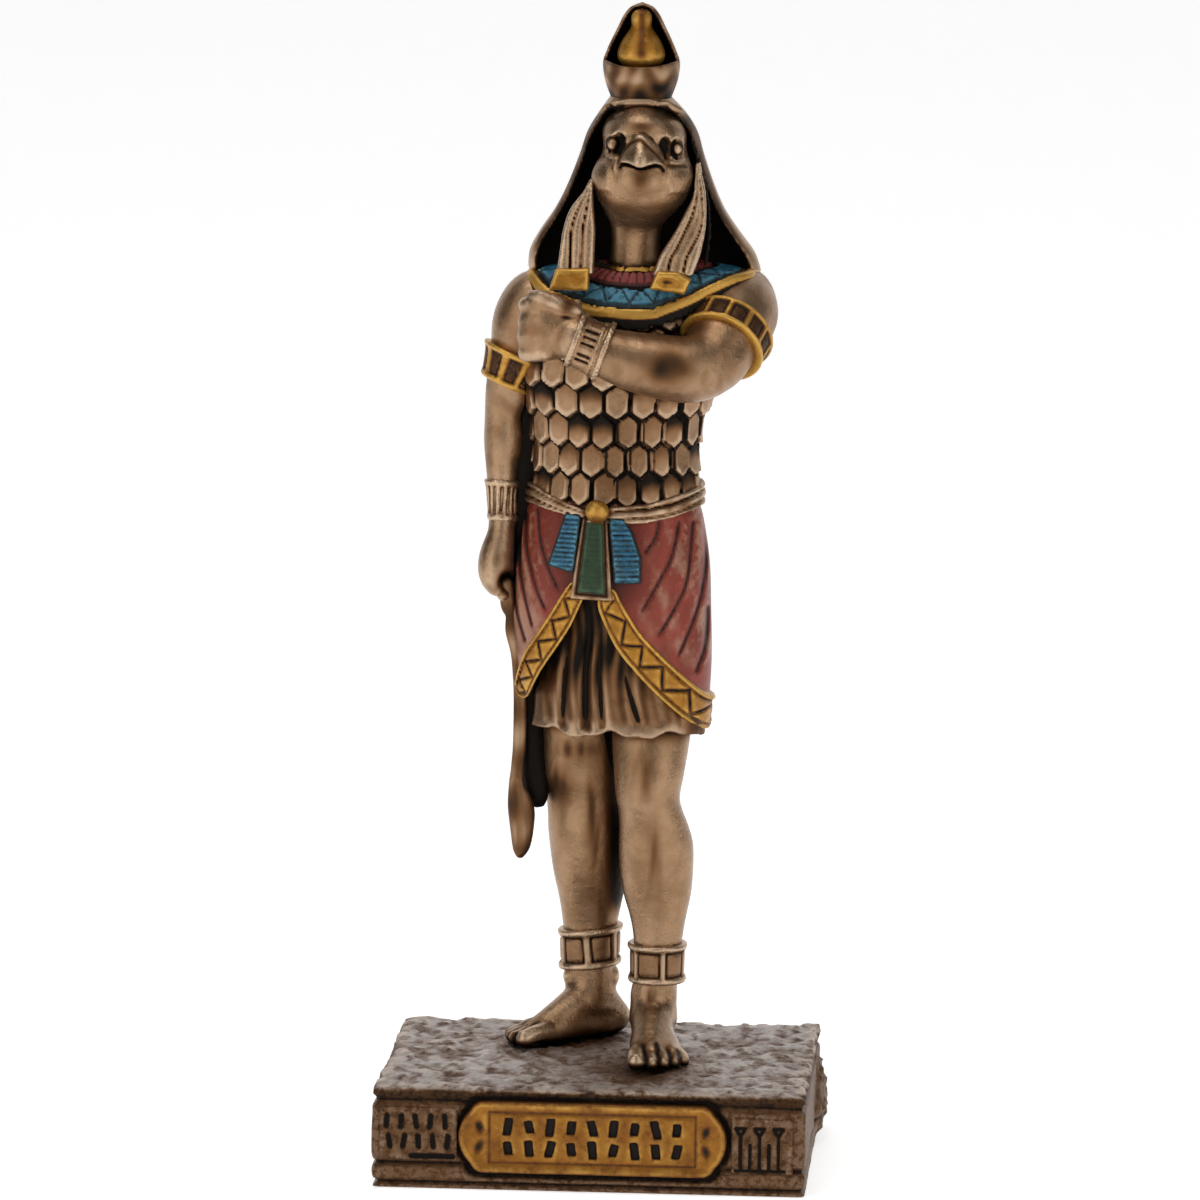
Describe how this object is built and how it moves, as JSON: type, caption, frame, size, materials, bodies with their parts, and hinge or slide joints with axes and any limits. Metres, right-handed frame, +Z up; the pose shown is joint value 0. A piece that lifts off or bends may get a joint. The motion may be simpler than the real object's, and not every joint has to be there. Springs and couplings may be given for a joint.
{
  "type": "falcon-headed god figure",
  "caption": "Standing falcon-headed god in crown, headcloth, scale corselet and kilt, with a sickle sword at one side, cast with a carved rectangular plinth.",
  "frame": {"origin": "centre of the plinth's underside, the chips and the lump on its side left out", "axes": "+Z up through the figure, -Y the way the figure faces, +X the viewer's right"},
  "size_m": [0.0342, 0.0272, 0.09],
  "materials": {
    "bronze": "satin cold-cast bronze with dark wash in the recesses",
    "plinth_bronze": "rough cold-cast bronze, stone-like on top",
    "gold_paint": "hand-painted gold, slightly worn",
    "blue_paint": "hand-painted blue over bronze, worn at the edges",
    "red_paint": "hand-painted red over bronze, worn at the ridges",
    "green_paint": "hand-painted green over bronze"
  },
  "bodies": {
    "root": {"plinth": "plinth_bronze", "falcon_figure": "bronze"}
  },
  "joints": []
}
